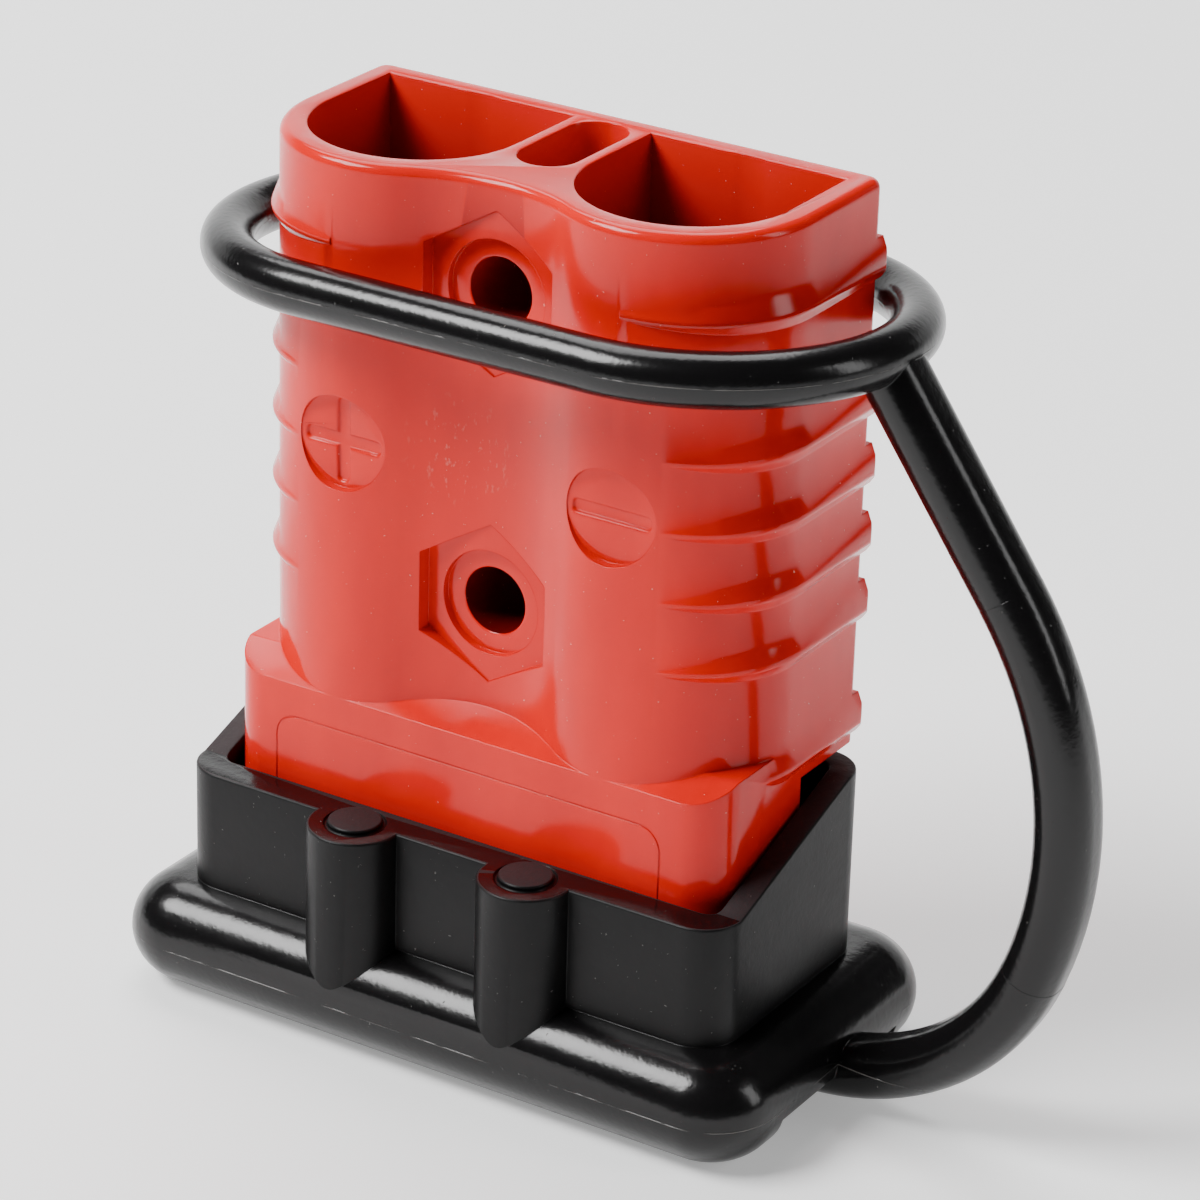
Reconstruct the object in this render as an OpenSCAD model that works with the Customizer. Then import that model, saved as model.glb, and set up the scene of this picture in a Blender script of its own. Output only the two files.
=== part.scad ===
// Two-pole genderless power connector, standing mating end down in its dust cap.
// Millimetres, +Z up. The origin is on the surface it stands on, under the middle of the housing.

/* [Housing] */
// Width of the body
body_w = 56; // [54:0.5:60]
// Overall length, from the mating end to the cable end
body_len = 79.5; // [76:0.5:84]
// Radius of the two front lobes, which is also half the depth of the body
lobe_r = 13.05; // [12.6:0.05:13.6]
// Radius of the hollow between the lobes
valley_r = 18.1; // [16:0.1:20]
// Radius of the two upright edges at the back
back_edge_r = 1.5; // [0.8:0.1:2.5]
// Wall round the cable entries
entry_wall = 2.6; // [2:0.05:3]
// Half of the web between the cable entries
web_half = 4.3; // [3.9:0.1:4.8]
// Depth of the cable entries
entry_depth = 22.5; // [18:0.5:26]

/* [Coring slot] */
// Width of the slot in the web
slot_w = 6; // [5:0.1:6.4]
// Length of the slot, front to back
slot_len = 14.2; // [10:0.1:15]
// Depth of the slot
slot_depth = 6; // [4:0.5:7]
// Wall left behind the slot
slot_back_wall = 2.4; // [2:0.1:4]

/* [Mounting holes] */
// Diameter of the two through holes
hole_d = 6.7; // [5.5:0.1:7]
// Distance between the holes
hole_pitch = 31.2; // [29:0.2:32]
// Distance from the cable end to the upper hole
hole_drop = 11.1; // [11:0.1:14]
// Size across flats of the nut recess
nut_w = 14.1; // [13:0.1:14.6]
// Distance from the middle plane to the floor of the nut recess
nut_floor_y = 9.05; // [8.6:0.05:9.2]
// Diameter of the washer seat round each hole
seat_d = 10.65; // [9:0.05:11.5]
// Depth of the washer seat below the floor of the nut recess
seat_depth = 0.75; // [0.4:0.05:1]

/* [Grip ribs] */
// Number of grip ribs
rib_count = 4; // [2:1:5]
// Distance between grip ribs
rib_pitch = 7; // [6:0.1:7.5]
// Distance from the cable end to the first grip rib
rib_drop = 21.9; // [20:0.1:24]
// Distance from the cable end to the ridge under the head
ridge_drop = 8.2; // [7:0.1:10]
// How far ribs and ridge stand out from the sides
rib_out = 0.95; // [0.6:0.05:1.1]
// Height of the long upper flank of a rib
rib_upper = 2.5; // [2:0.1:2.8]
// Height of the short lower flank of a rib
rib_lower = 1.6; // [1.2:0.1:2]
// Radius of the rounded crest of a rib
rib_crest_r = 0.7; // [0.4:0.05:0.9]
// Where the grip ribs sink into a lobe, as an angle from straight ahead
rib_fade = 23; // [10:1:40]
// Where the ridge sinks into a lobe, as an angle from straight ahead
ridge_fade = -5; // [-10:1:10]

/* [Pole marks] */
// Diameter of the sunk discs that carry the signs
mark_d = 9.6; // [8:0.1:10.5]
// Distance from the middle plane to the floor of the discs
mark_floor_y = 12; // [11.4:0.1:12.4]
// Distance from the cable end to the middle of the discs
mark_drop = 28.3; // [25:0.1:32]

/* [Mating end] */
// Wall of the hood
hood_wall = 2.6; // [2:0.1:3]
// Radius of the two front edges of the hood
hood_edge_r = 4.4; // [4:0.1:6]
// Length of the hood below the ledge
hood_len = 22.2; // [20:0.2:24]
// Height of the front edge of the band at the root of the hood
ledge_h = 2.5; // [2:0.1:4]
// Rise of the sloping top of the band, from its front edge to the floor of the valley
ledge_rise = 1.7; // [1:0.1:2.5]
// Distance from the middle plane to the rear ends of the hood's sides
hood_back_y = 2.5; // [1:0.1:4]
// Thickness of the rib between the poles, on the inside of the hood
divider_w = 3.6; // [2.5:0.1:5]
// Width of each tongue that carries a contact
tongue_w = 19.8; // [18:0.2:20.2]
// Thickness of each tongue
tongue_t = 2.6; // [2:0.1:2.8]
// How far the tongues stay short of the mating end
tongue_short = 3; // [2:0.2:5]

/* [Contacts] */
// Width of the flat blade
blade_w = 16; // [14:0.2:17]
// Thickness of the flat blade
blade_t = 3; // [2.6:0.1:3.2]
// Length of the blade below the barrel
blade_len = 37.6; // [36:0.2:38]
// Outer diameter of the crimp barrel
barrel_d = 13.6; // [12:0.1:14]
// Inner diameter of the crimp barrel
barrel_bore_d = 10.4; // [8:0.1:11]
// Length of the crimp barrel, with its closed end
barrel_len = 21; // [18:0.5:23]
// Depth of the bore in the barrel
barrel_bore_len = 17; // [12:0.5:18]
// How far the hook at the tip of the blade turns back
hook_out = 1.6; // [1:0.1:1.8]
// Thickness of the hook
hook_t = 1.6; // [1.2:0.1:2]

/* [Springs] */
// Width of the leaf spring
spring_w = 9; // [7:0.2:10]
// Thickness of the leaf spring
spring_t = 0.8; // [0.6:0.05:1]
// Height of the bow
spring_bow = 1.1; // [0.6:0.1:1.3]
// Length of the bowed part
spring_len = 15; // [13:0.5:16]
// Length of the straight tail held in the housing
spring_tail = 6; // [4:0.5:8]

/* [Dust cap base] */
// Length of the base
base_w = 73.4; // [71:0.2:76]
// Depth of the base
base_d = 39.6; // [38:0.2:41]
// Height of the base, which is the thickness of its rounded bumper
base_h = 10.9; // [10:0.1:11.8]
// Radius of the corners of the base, seen from above
base_corner_r = 7; // [6.5:0.1:9]
// Thickness of the floor under the connector
floor_t = 9; // [7:0.1:9.5]
// Distance of the middle of the cap behind the middle plane of the housing
cap_back = -2.3; // [-2.6:0.1:-1.6]
// Length of the finger notch under the strap end of the base
notch_len = 21.8; // [18:0.2:23]
// Height of the finger notch
notch_h = 4.2; // [3:0.1:4.6]
// Depth of the finger notch
notch_depth = 3.4; // [2:0.1:4]

/* [Dust cap collar] */
// Side wall of the collar
collar_wall = 2.6; // [2:0.05:3]
// Front wall of the collar
collar_front_wall = 3.5; // [2.6:0.1:3.8]
// Radius of the upright outer edges of the collar
collar_edge_r = 4.1; // [3.8:0.1:6]
// Height of the rim at the front
rim_front_h = 23.4; // [21:0.2:24]
// Height of the rim at the back
rim_back_h = 30.3; // [28:0.1:30.6]
// Distance from the middle of the cap to each half-round column
column_x = 9.8; // [8:0.1:12]
// Radius of the columns at the rim
column_r = 4.7; // [3.8:0.1:4.9]
// How far the middle of each column stands in front of the collar
column_fore = 0.2; // [0:0.1:0.4]
// Diameter of the raised disc on each column
stud_d = 5.3; // [4.6:0.1:6]
// Height of the raised disc
stud_h = 0.4; // [0.2:0.05:0.8]

/* [Strap and ring] */
// Shift of the strap toward the back
strap_y = 0; // [-1:0.1:1]
// Width of the strap
strap_w = 7; // [6.2:0.1:8]
// Thickness of the strap
strap_t = 5.9; // [5:0.1:6.2]
// Bend radius of the strap beside the base
bend_low_r = 24.8; // [24:0.1:26]
// Angle through which the strap turns before it opens out
bend_low_a = 70; // [68:0.5:72]
// Bend radius of the strap beside the housing
bend_high_r = 40.4; // [38:0.1:42]
// How far inside the end of the base the strap begins to bend
strap_root_in = 5; // [4:0.1:6]
// Height of the strap where it leaves the base
strap_root_z = 3.5; // [3.2:0.1:5]
// Thickness of the ring
ring_t = 5.2; // [4.6:0.1:5.3]
// Length of the ring, between the middles of its thickness
ring_w = 70.8; // [70.6:0.2:73]
// Depth of the ring, between the middles of its thickness
ring_d = 38; // [37.8:0.2:39]
// Height of the middle of the ring
ring_z = 76.3; // [74:0.1:78]
// Shift of the ring toward the strap
ring_x = 1.1; // [0.8:0.1:1.3]
// Shift of the ring toward the back
ring_y = 1.1; // [1:0.1:1.3]
// Lean of the ring, front to back
ring_pitch_a = -2.3; // [-4:0.1:0]
// Lean of the ring, side to side
ring_roll_a = -1.7; // [-3:0.1:0]
// Turn of the ring about the housing
ring_turn_a = -3.6; // [-4.2:0.1:-3]

/* [Clearances] */
// Running clearance between metal parts and the housing
part_gap = 0.2; // [0.1:0.05:0.3]
// Clearance between hood and collar at the sides
side_gap = 0.35; // [0.25:0.05:0.6]
// Clearance between hood and collar at the front
front_gap = 0.35; // [0.25:0.05:0.6]
// Clearance between the tongues and the back wall of the collar
back_gap = 0.8; // [0.4:0.1:1.2]

/* [Hidden] */
$fn = 96;
eps = 0.01;

// The housing stands on the floor of the cap
mate_z = floor_t;
top_z = mate_z + body_len;
ledge_z = mate_z + hood_len;
band_z = ledge_z + ledge_h;
hood_w = body_w;
lobe_x = body_w / 2 - lobe_r;

// The valley is an arc about a centre in front of the body, tangent to both lobes
valley_y = -sqrt(pow(lobe_r + valley_r, 2) - pow(lobe_x, 2));
touch_y = valley_y * lobe_r / (lobe_r + valley_r);
valley_floor_y = -valley_y - valley_r;

// Cable entries: straight back, straight sides and a round front that follows the lobe
entry_r = (body_w / 2 - entry_wall - web_half) / 2;
entry_x = web_half + entry_r;
entry_y = entry_r - (lobe_r - entry_wall);
entry_floor_z = top_z - entry_depth;

hole_z = [top_z - hole_drop, top_z - hole_drop - hole_pitch];
mark_z = top_z - mark_drop;
slot_r = slot_w / 2;
slot_back_y = lobe_r - slot_back_wall - slot_r;

// Contacts: the blade's front face lies on the middle plane, where the two halves meet
pole_x = entry_x;
blade_y = blade_t / 2;
blade_top_z = ledge_z + (blade_len - (hood_len - tongue_short));
barrel_z = blade_top_z;
blade_tip_z = blade_top_z - blade_len;

// Tongues: a bowed spring lies between the blade and the tongue
tongue_tip_z = mate_z + tongue_short;
tongue_front_y = blade_t + spring_bow + spring_t + part_gap;
tongue_back_y = tongue_front_y + tongue_t;
spring_y = tongue_front_y - part_gap / 2;
spring_bow_r = (pow(spring_len / 2, 2) + pow(spring_bow, 2)) / (2 * spring_bow);
spring_top_z = ledge_z;

// Dust cap
bumper_r = base_h / 2;
collar_out_x = hood_w / 2 + side_gap + collar_wall;
collar_in_front = -lobe_r - front_gap;
collar_out_front = collar_in_front - collar_front_wall;
collar_in_back = tongue_back_y + back_gap;
collar_out_back = collar_in_back + collar_wall;
column_y = collar_out_front - column_fore;
foot_z = 0.55 * base_h;

// Strap: two bends and a straight run to the end of the ring, in one upright plane
ring_end = ring_point([ring_w / 2, 0, 0]);
strap_end = [ring_end[0] - 0.5, ring_end[2] - 0.5];
strap_taper = 0.04;
root = [base_w / 2 - strap_root_in, strap_root_z];
low_c = root + [0, bend_low_r];
low_end = low_c + bend_low_r * [sin(bend_low_a), -cos(bend_low_a)];
high_c = low_end - bend_high_r * [sin(bend_low_a), -cos(bend_low_a)];
reach = strap_end - high_c;
high_end_a = atan2(reach[1], reach[0]) - acos(bend_high_r / norm(reach));
high_end = high_c + bend_high_r * [cos(high_end_a), sin(high_end_a)];
run = strap_end - high_end;

red = "firebrick";
black = "#1c1c1e";
copper = "silver";
steel = "lightsteelblue";

// Where a point of the ring lies once the ring is tilted and in place
function ring_point(p) =
    let (
        a = [p[0], p[1] * cos(ring_pitch_a), p[1] * sin(ring_pitch_a)],
        b = [a[0] * cos(ring_roll_a) + a[2] * sin(ring_roll_a), a[1], a[2] * cos(ring_roll_a) - a[0] * sin(ring_roll_a)]
    )
    [
        ring_x + b[0] * cos(ring_turn_a) - b[1] * sin(ring_turn_a),
        ring_y + b[0] * sin(ring_turn_a) + b[1] * cos(ring_turn_a),
        ring_z + b[2]
    ];

// Where the line from p touches the crest, which is a circle about [0, 0]
function flank_touch(p) =
    let (a = atan2(p[1], p[0]) - acos(rib_crest_r / norm(p)))
    rib_crest_r * [cos(a), sin(a)];

function mirror_z(p) = [p[0], -p[1]];

// A copy on each side of the middle
module both_sides() {
    children();
    mirror([1, 0, 0]) children();
}

// Plan of the body: two round lobes, the valley between them and a flat back
module body_plan() {
    difference() {
        union() {
            both_sides() translate([lobe_x, 0]) circle(lobe_r);
            translate([-lobe_x, touch_y]) square([2 * lobe_x, lobe_r - touch_y - back_edge_r]);
            translate([-body_w / 2, 0]) square([body_w, lobe_r - back_edge_r]);
            translate([-body_w / 2 + back_edge_r, 0]) square([body_w - 2 * back_edge_r, lobe_r]);
            both_sides() translate([body_w / 2 - back_edge_r, lobe_r - back_edge_r]) circle(back_edge_r);
        }
        translate([0, valley_y]) circle(valley_r, $fn = 144);
    }
}

// Plan of one cable entry
module entry_plan() {
    translate([entry_x, entry_y]) circle(entry_r);
    translate([web_half, entry_y]) square([2 * entry_r, lobe_r - entry_wall - entry_y]);
}

// Section of a rib: a long upper flank, a round crest and a short lower flank
module rib_section(side) {
    crest_x = side + rib_out - rib_crest_r;
    translate([crest_x, 0]) circle(rib_crest_r, $fn = 48);
    polygon([
        [side - rib_upper, rib_upper],
        [side, rib_upper],
        flank_touch([side - crest_x, rib_upper]) + [crest_x, 0],
        [crest_x, 0],
        mirror_z(flank_touch([side - crest_x, rib_lower])) + [crest_x, 0],
        [side, -rib_lower],
        [side - rib_upper, -rib_lower]
    ]);
}

// One rib on the right: it runs along the side and bends until it sinks into the lobe
module rib(z, fade) {
    side = body_w / 2;
    crest = side + rib_out;
    tip_x = lobe_x + lobe_r * sin(fade);
    tip_y = lobe_r * cos(fade);
    turn_x = (crest * crest - tip_x * tip_x - tip_y * tip_y) / (2 * (crest - tip_x));
    translate([turn_x, 0, z]) rotate([0, 0, -90]) rotate_extrude(angle = 90) rib_section(side - turn_x);
    translate([0, lobe_r, z]) rotate([90, 0, 0]) linear_extrude(lobe_r + eps) rib_section(side);
}

// All ribs on the right
module ribs() {
    rib(top_z - ridge_drop, ridge_fade);
    for (i = [0 : rib_count - 1]) rib(top_z - rib_drop - i * rib_pitch, rib_fade);
    rib(band_z, rib_fade);
}

// A nut recess with a round washer seat in its floor
module nut_recess(z) {
    translate([0, -nut_floor_y, z]) rotate([90, 0, 0]) rotate([0, 0, 30])
        cylinder(d = nut_w / cos(30), h = lobe_r, $fn = 6);
    translate([0, seat_depth - nut_floor_y, z]) rotate([90, 0, 0]) cylinder(d = seat_d, h = lobe_r);
}

// A sunk disc that carries the sign of a pole
module pole_mark(x) {
    translate([x, -mark_floor_y, mark_z]) rotate([90, 0, 0]) cylinder(d = mark_d, h = lobe_r);
}

// Plan of the hood from the front back to y, with square or rounded rear edges
module hood_plan(y, rear_r) {
    half = hood_w / 2;
    both_sides() translate([half - hood_edge_r, hood_edge_r - lobe_r]) circle(hood_edge_r);
    translate([hood_edge_r - half, -lobe_r]) square([hood_w - 2 * hood_edge_r, hood_edge_r]);
    translate([-half, hood_edge_r - lobe_r]) square([hood_w, y + lobe_r - hood_edge_r - rear_r]);
    if (rear_r > 0) {
        translate([rear_r - half, 0]) square([hood_w - 2 * rear_r, y]);
        both_sides() translate([half - rear_r, y - rear_r]) circle(rear_r);
    }
}

// The band at the root of the hood, whose top slopes up from the front edge to the body
module band() {
    fore = [-lobe_r - 1, band_z - ledge_rise / (lobe_r - valley_floor_y)];
    difference() {
        translate([0, 0, ledge_z]) linear_extrude(ledge_h + ledge_rise) hood_plan(lobe_r, back_edge_r);
        rotate([90, 0, 90]) translate([0, 0, -hood_w]) linear_extrude(2 * hood_w) polygon([
            fore,
            [-valley_floor_y, band_z + ledge_rise],
            [-valley_floor_y, top_z],
            [-lobe_r - 1, top_z]
        ]);
    }
}

// Plan of the space inside the hood
module hood_space_plan() {
    half = hood_w / 2 - hood_wall;
    r = hood_edge_r - hood_wall;
    front = hood_wall - lobe_r;
    both_sides() translate([half - r, front + r]) circle(r);
    translate([r - half, front]) square([2 * (half - r), r]);
    translate([-half, front + r]) square([2 * half, hood_back_y + 1 - front - r]);
}

// Hood, the rib between the poles inside it and the two tongues behind the contacts
module mating_end() {
    front = hood_wall - lobe_r;
    translate([0, 0, mate_z]) linear_extrude(hood_len + eps) difference() {
        hood_plan(hood_back_y, 0);
        hood_space_plan();
    }
    translate([-divider_w / 2, front - eps, mate_z]) cube([divider_w, hood_back_y - front, hood_len + eps]);
    both_sides() translate([pole_x - tongue_w / 2, tongue_front_y, tongue_tip_z])
        cube([tongue_w, tongue_t, ledge_z - tongue_tip_z + eps]);
}

// What is hollow on the right: entry, bore for the barrel, and slots for blade and spring
module pole_hollow() {
    over = 1;
    translate([0, 0, entry_floor_z]) linear_extrude(entry_depth + over) entry_plan();
    translate([pole_x, blade_y, barrel_z - part_gap])
        cylinder(d = barrel_d + 2 * part_gap, h = top_z - barrel_z);
    translate([pole_x - blade_w / 2 - part_gap, -part_gap, ledge_z - over])
        cube([blade_w + 2 * part_gap, blade_t + 2 * part_gap, barrel_z - ledge_z + over + part_gap]);
    translate([pole_x - spring_w / 2 - part_gap, spring_y - spring_t - part_gap, ledge_z - over])
        cube([spring_w + 2 * part_gap, spring_t + 2 * part_gap, spring_tail + part_gap + over]);
}

// Plan of the slot in the web between the entries
module slot_plan() {
    fore_y = slot_back_y - slot_len + slot_w;
    for (y = [slot_back_y, fore_y]) translate([0, y]) circle(slot_r);
    translate([-slot_r, fore_y]) square([slot_w, slot_back_y - fore_y]);
}

module housing() {
    color(red) difference() {
        union() {
            translate([0, 0, ledge_z]) linear_extrude(top_z - ledge_z) body_plan();
            band();
            both_sides() ribs();
            mating_end();
        }
        both_sides() pole_hollow();
        translate([0, 0, top_z - slot_depth]) linear_extrude(slot_depth + 1) slot_plan();
        for (z = hole_z) {
            nut_recess(z);
            translate([0, lobe_r + 1, z]) rotate([90, 0, 0]) cylinder(d = hole_d, h = 2 * lobe_r + 2);
        }
        both_sides() pole_mark(lobe_x);
    }
}

// One contact: a flat blade whose rounded tip hooks back, and a crimp barrel above it
module contact() {
    tip_r = blade_t / 2;
    difference() {
        union() {
            translate([-blade_w / 2, 0, blade_tip_z + tip_r]) cube([blade_w, blade_t, blade_len - tip_r + eps]);
            translate([-blade_w / 2, tip_r, blade_tip_z + tip_r]) rotate([0, 90, 0]) cylinder(r = tip_r, h = blade_w);
            translate([-blade_w / 2, tip_r, blade_tip_z]) cube([blade_w, tip_r + hook_out, hook_t]);
            translate([0, blade_y, barrel_z]) cylinder(d = barrel_d, h = barrel_len);
        }
        translate([0, blade_y, barrel_z + barrel_len - barrel_bore_len])
            cylinder(d = barrel_bore_d, h = barrel_bore_len + 1);
    }
}

module contact_positive() {
    color(copper) translate([-pole_x, 0, 0]) contact();
}

module contact_negative() {
    color(copper) translate([pole_x, 0, 0]) contact();
}

// Side view of a leaf spring: bowed toward the blade, with a straight tail
module leaf_profile() {
    joint = 1;
    bow_mid_z = spring_top_z - spring_len / 2;
    bow_y = spring_y - spring_bow - spring_t + spring_bow_r;
    intersection() {
        translate([bow_y, bow_mid_z]) difference() {
            circle(spring_bow_r, $fn = 360);
            circle(spring_bow_r - spring_t, $fn = 360);
        }
        translate([0, spring_top_z - spring_len]) square([bow_y, spring_len]);
    }
    translate([spring_y - spring_t, spring_top_z - joint]) square([spring_t, spring_tail + joint]);
}

module leaf_spring() {
    rotate([90, 0, 90]) translate([0, 0, -spring_w / 2]) linear_extrude(spring_w) leaf_profile();
}

module spring_positive() {
    color(steel) translate([-pole_x, 0, 0]) leaf_spring();
}

module spring_negative() {
    color(steel) translate([pole_x, 0, 0]) leaf_spring();
}

// Section of the base from the axis of a corner outward: flat, then half round
module bumper_section(flat) {
    intersection() {
        union() {
            translate([0, -bumper_r]) square([flat, base_h]);
            translate([flat, 0]) circle(bumper_r);
        }
        translate([0, -bumper_r]) square([flat + bumper_r, base_h]);
    }
}

// The base: a slab whose whole edge is a half-round bumper
module base() {
    half_w = base_w / 2 - base_corner_r;
    half_d = base_d / 2 - base_corner_r;
    flat = base_corner_r - bumper_r;
    translate([0, cap_back, bumper_r]) {
        for (turn = [0, 180]) rotate([0, 0, turn]) {
            translate([half_w, half_d, 0]) rotate_extrude(angle = 90) bumper_section(flat);
            translate([half_w, -half_d, 0]) rotate([0, 0, -90]) rotate_extrude(angle = 90) bumper_section(flat);
            translate([half_w, half_d, 0]) rotate([90, 0, 0]) linear_extrude(2 * half_d) bumper_section(flat);
            translate([-half_w, half_d, 0]) rotate([90, 0, 90]) linear_extrude(2 * half_w) bumper_section(flat);
        }
        translate([-half_w, -half_d, -bumper_r]) cube([2 * half_w, 2 * half_d, base_h]);
    }
}

// Plan of the collar, drawn in by inset from its outer faces
module collar_plan(inset, inset_front) {
    x = collar_out_x - inset;
    y0 = collar_out_front + inset_front;
    y1 = collar_out_back - inset;
    r = collar_edge_r - inset;
    both_sides() for (y = [y0 + r, y1 - r]) translate([x - r, y]) circle(r);
    translate([r - x, y0]) square([2 * (x - r), y1 - y0]);
    translate([-x, y0 + r]) square([2 * x, y1 - y0 - 2 * r]);
}

// What is cut off above the rim: level at the front and the back, and slanted between them
module above_rim() {
    fore = collar_out_front - base_d;
    aft = collar_out_back + base_d;
    rotate([90, 0, 90]) translate([0, 0, -base_w]) linear_extrude(2 * base_w) polygon([
        [fore, rim_front_h],
        [collar_out_front + collar_edge_r, rim_front_h],
        [collar_out_back - collar_edge_r, rim_back_h],
        [aft, rim_back_h],
        [aft, 2 * rim_back_h],
        [fore, 2 * rim_back_h]
    ]);
}

// The collar that grips the mating end
module collar() {
    difference() {
        translate([0, 0, foot_z]) linear_extrude(rim_back_h) collar_plan(0, 0);
        above_rim();
    }
}

// A half-round column on the front of the collar, with a disc on its top
module column() {
    translate([column_x, column_y, foot_z]) cylinder(r = column_r, h = rim_front_h - foot_z);
    translate([column_x, column_y, foot_z]) cylinder(d = stud_d, h = rim_front_h + stud_h - foot_z);
}

// Section of the strap, slimmer by a little
module strap_section(slimmer) {
    side = strap_w / 2 - strap_t / 2;
    d = strap_t - slimmer;
    for (s = [-1, 1]) translate([0, s * side]) circle(d = d);
    translate([-d / 2, -side]) square([d, 2 * side]);
}

// One bend of the strap, from angle a0 round to a1 about c
module bend(c, r, a0, a1, slimmer) {
    translate([c[0], strap_y, c[1]]) rotate([90, 0, 0]) rotate([0, 0, a0])
        rotate_extrude(angle = a1 - a0) translate([r, 0]) strap_section(slimmer);
}

// The strap: two bends, then a straight run that ends in the ring, each a little slimmer
module strap() {
    bend(low_c, bend_low_r, -90, bend_low_a - 90, 0);
    bend(high_c, bend_high_r, bend_low_a - 90, high_end_a, strap_taper);
    translate([high_end[0], strap_y, high_end[1]]) rotate([0, 90 - atan2(run[1], run[0]), 0])
        linear_extrude(norm(run)) strap_section(2 * strap_taper);
}

// The ring: two half turns joined by straight sides
module ring() {
    turn_r = ring_d / 2;
    half = ring_w / 2 - turn_r;
    translate([ring_x, ring_y, ring_z]) rotate([ring_pitch_a, ring_roll_a, ring_turn_a]) {
        for (s = [0, 180])
            rotate([0, 0, s]) translate([half, 0, 0]) rotate([0, 0, -90])
                rotate_extrude(angle = 180, $fn = 144) translate([turn_r, 0]) circle(d = ring_t, $fn = 48);
        for (s = [-1, 1])
            translate([-half, s * turn_r, 0]) rotate([0, 90, 0]) cylinder(d = ring_t, h = 2 * half, $fn = 48);
    }
}

// The finger notch under the strap end of the base
module finger_notch() {
    over = 1;
    translate([base_w / 2 - notch_depth, cap_back - notch_len / 2, -over])
        cube([notch_depth + over, notch_len, notch_h + over]);
}

module dust_cap() {
    color(black) {
        difference() {
            union() {
                base();
                collar();
                both_sides() column();
            }
            translate([0, 0, floor_t]) linear_extrude(rim_back_h) collar_plan(collar_wall, collar_front_wall);
            finger_notch();
        }
        strap();
        ring();
    }
}

housing();
contact_positive();
contact_negative();
spring_positive();
spring_negative();
dust_cap();
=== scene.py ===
"""Dresses the genderless power connector and the dust cap that it stands in."""
import logging
import math
from dataclasses import dataclass, field
from enum import Enum
from typing import Callable, Iterable

import bpy
from mathutils import Euler, Matrix, Vector


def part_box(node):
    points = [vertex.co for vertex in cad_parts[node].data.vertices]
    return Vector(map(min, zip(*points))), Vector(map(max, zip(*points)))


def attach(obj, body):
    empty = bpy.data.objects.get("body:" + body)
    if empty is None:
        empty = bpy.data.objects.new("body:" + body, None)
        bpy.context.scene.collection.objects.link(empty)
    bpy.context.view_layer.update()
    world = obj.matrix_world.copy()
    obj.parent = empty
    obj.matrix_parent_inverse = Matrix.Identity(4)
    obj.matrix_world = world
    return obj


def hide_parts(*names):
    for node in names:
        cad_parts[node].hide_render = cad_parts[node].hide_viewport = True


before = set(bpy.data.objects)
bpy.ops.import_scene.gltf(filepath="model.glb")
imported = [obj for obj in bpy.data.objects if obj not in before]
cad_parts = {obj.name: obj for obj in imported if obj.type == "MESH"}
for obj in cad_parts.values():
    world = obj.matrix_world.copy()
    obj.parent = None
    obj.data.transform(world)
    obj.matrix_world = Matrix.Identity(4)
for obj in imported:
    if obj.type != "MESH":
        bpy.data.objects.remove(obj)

MM = 0.001
SAME_PLACE = 1e-6  # metres
NEAR = 0.01 * MM
WELD_PACKED = 0.001 * MM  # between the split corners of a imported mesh
WELD_CUT = 0.003 * MM  # between points that a cut leaves almost together
SMOOTH_ANGLE = math.radians(30)
FLAT_ANGLE = math.radians(0.2)
FACES_ALONG = 0.9  # least part of a normal along an axis, for a face that looks along it
PLASTIC_IOR = 1.5
log = logging.getLogger("connector")


class Gloss(Enum):
    """How a black surface of the dust cap leaves the mould, with its roughness."""

    POLISHED = 0.2
    SATIN = 0.4
    # the worn rim's colour also carries a painted reflection of the red housing, given where the cap is
    # dressed
    WORN_WITH_REFLECTION = 0.6


class Axis(Enum):
    """The two directions in which a bar of a pole sign runs."""

    ACROSS = "across"
    UPRIGHT = "upright"


class Cut(Enum):
    """What a tool does to a piece."""

    AWAY = "DIFFERENCE"
    SHARED = "INTERSECT"


@dataclass(frozen=True)
class Edge:
    """An edge between two faces: its two ends and the normals of the faces."""

    ends: tuple
    sides: tuple

    @property
    def middle(self) -> Vector:
        """The point halfway along the edge."""
        return (self.ends[0] + self.ends[1]) / 2

    @property
    def fold(self) -> float:
        """The angle between the normals of the two faces, in radians."""
        return self.sides[0].angle(self.sides[1])


# ---------------------------------------------------------------- finishes


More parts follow.
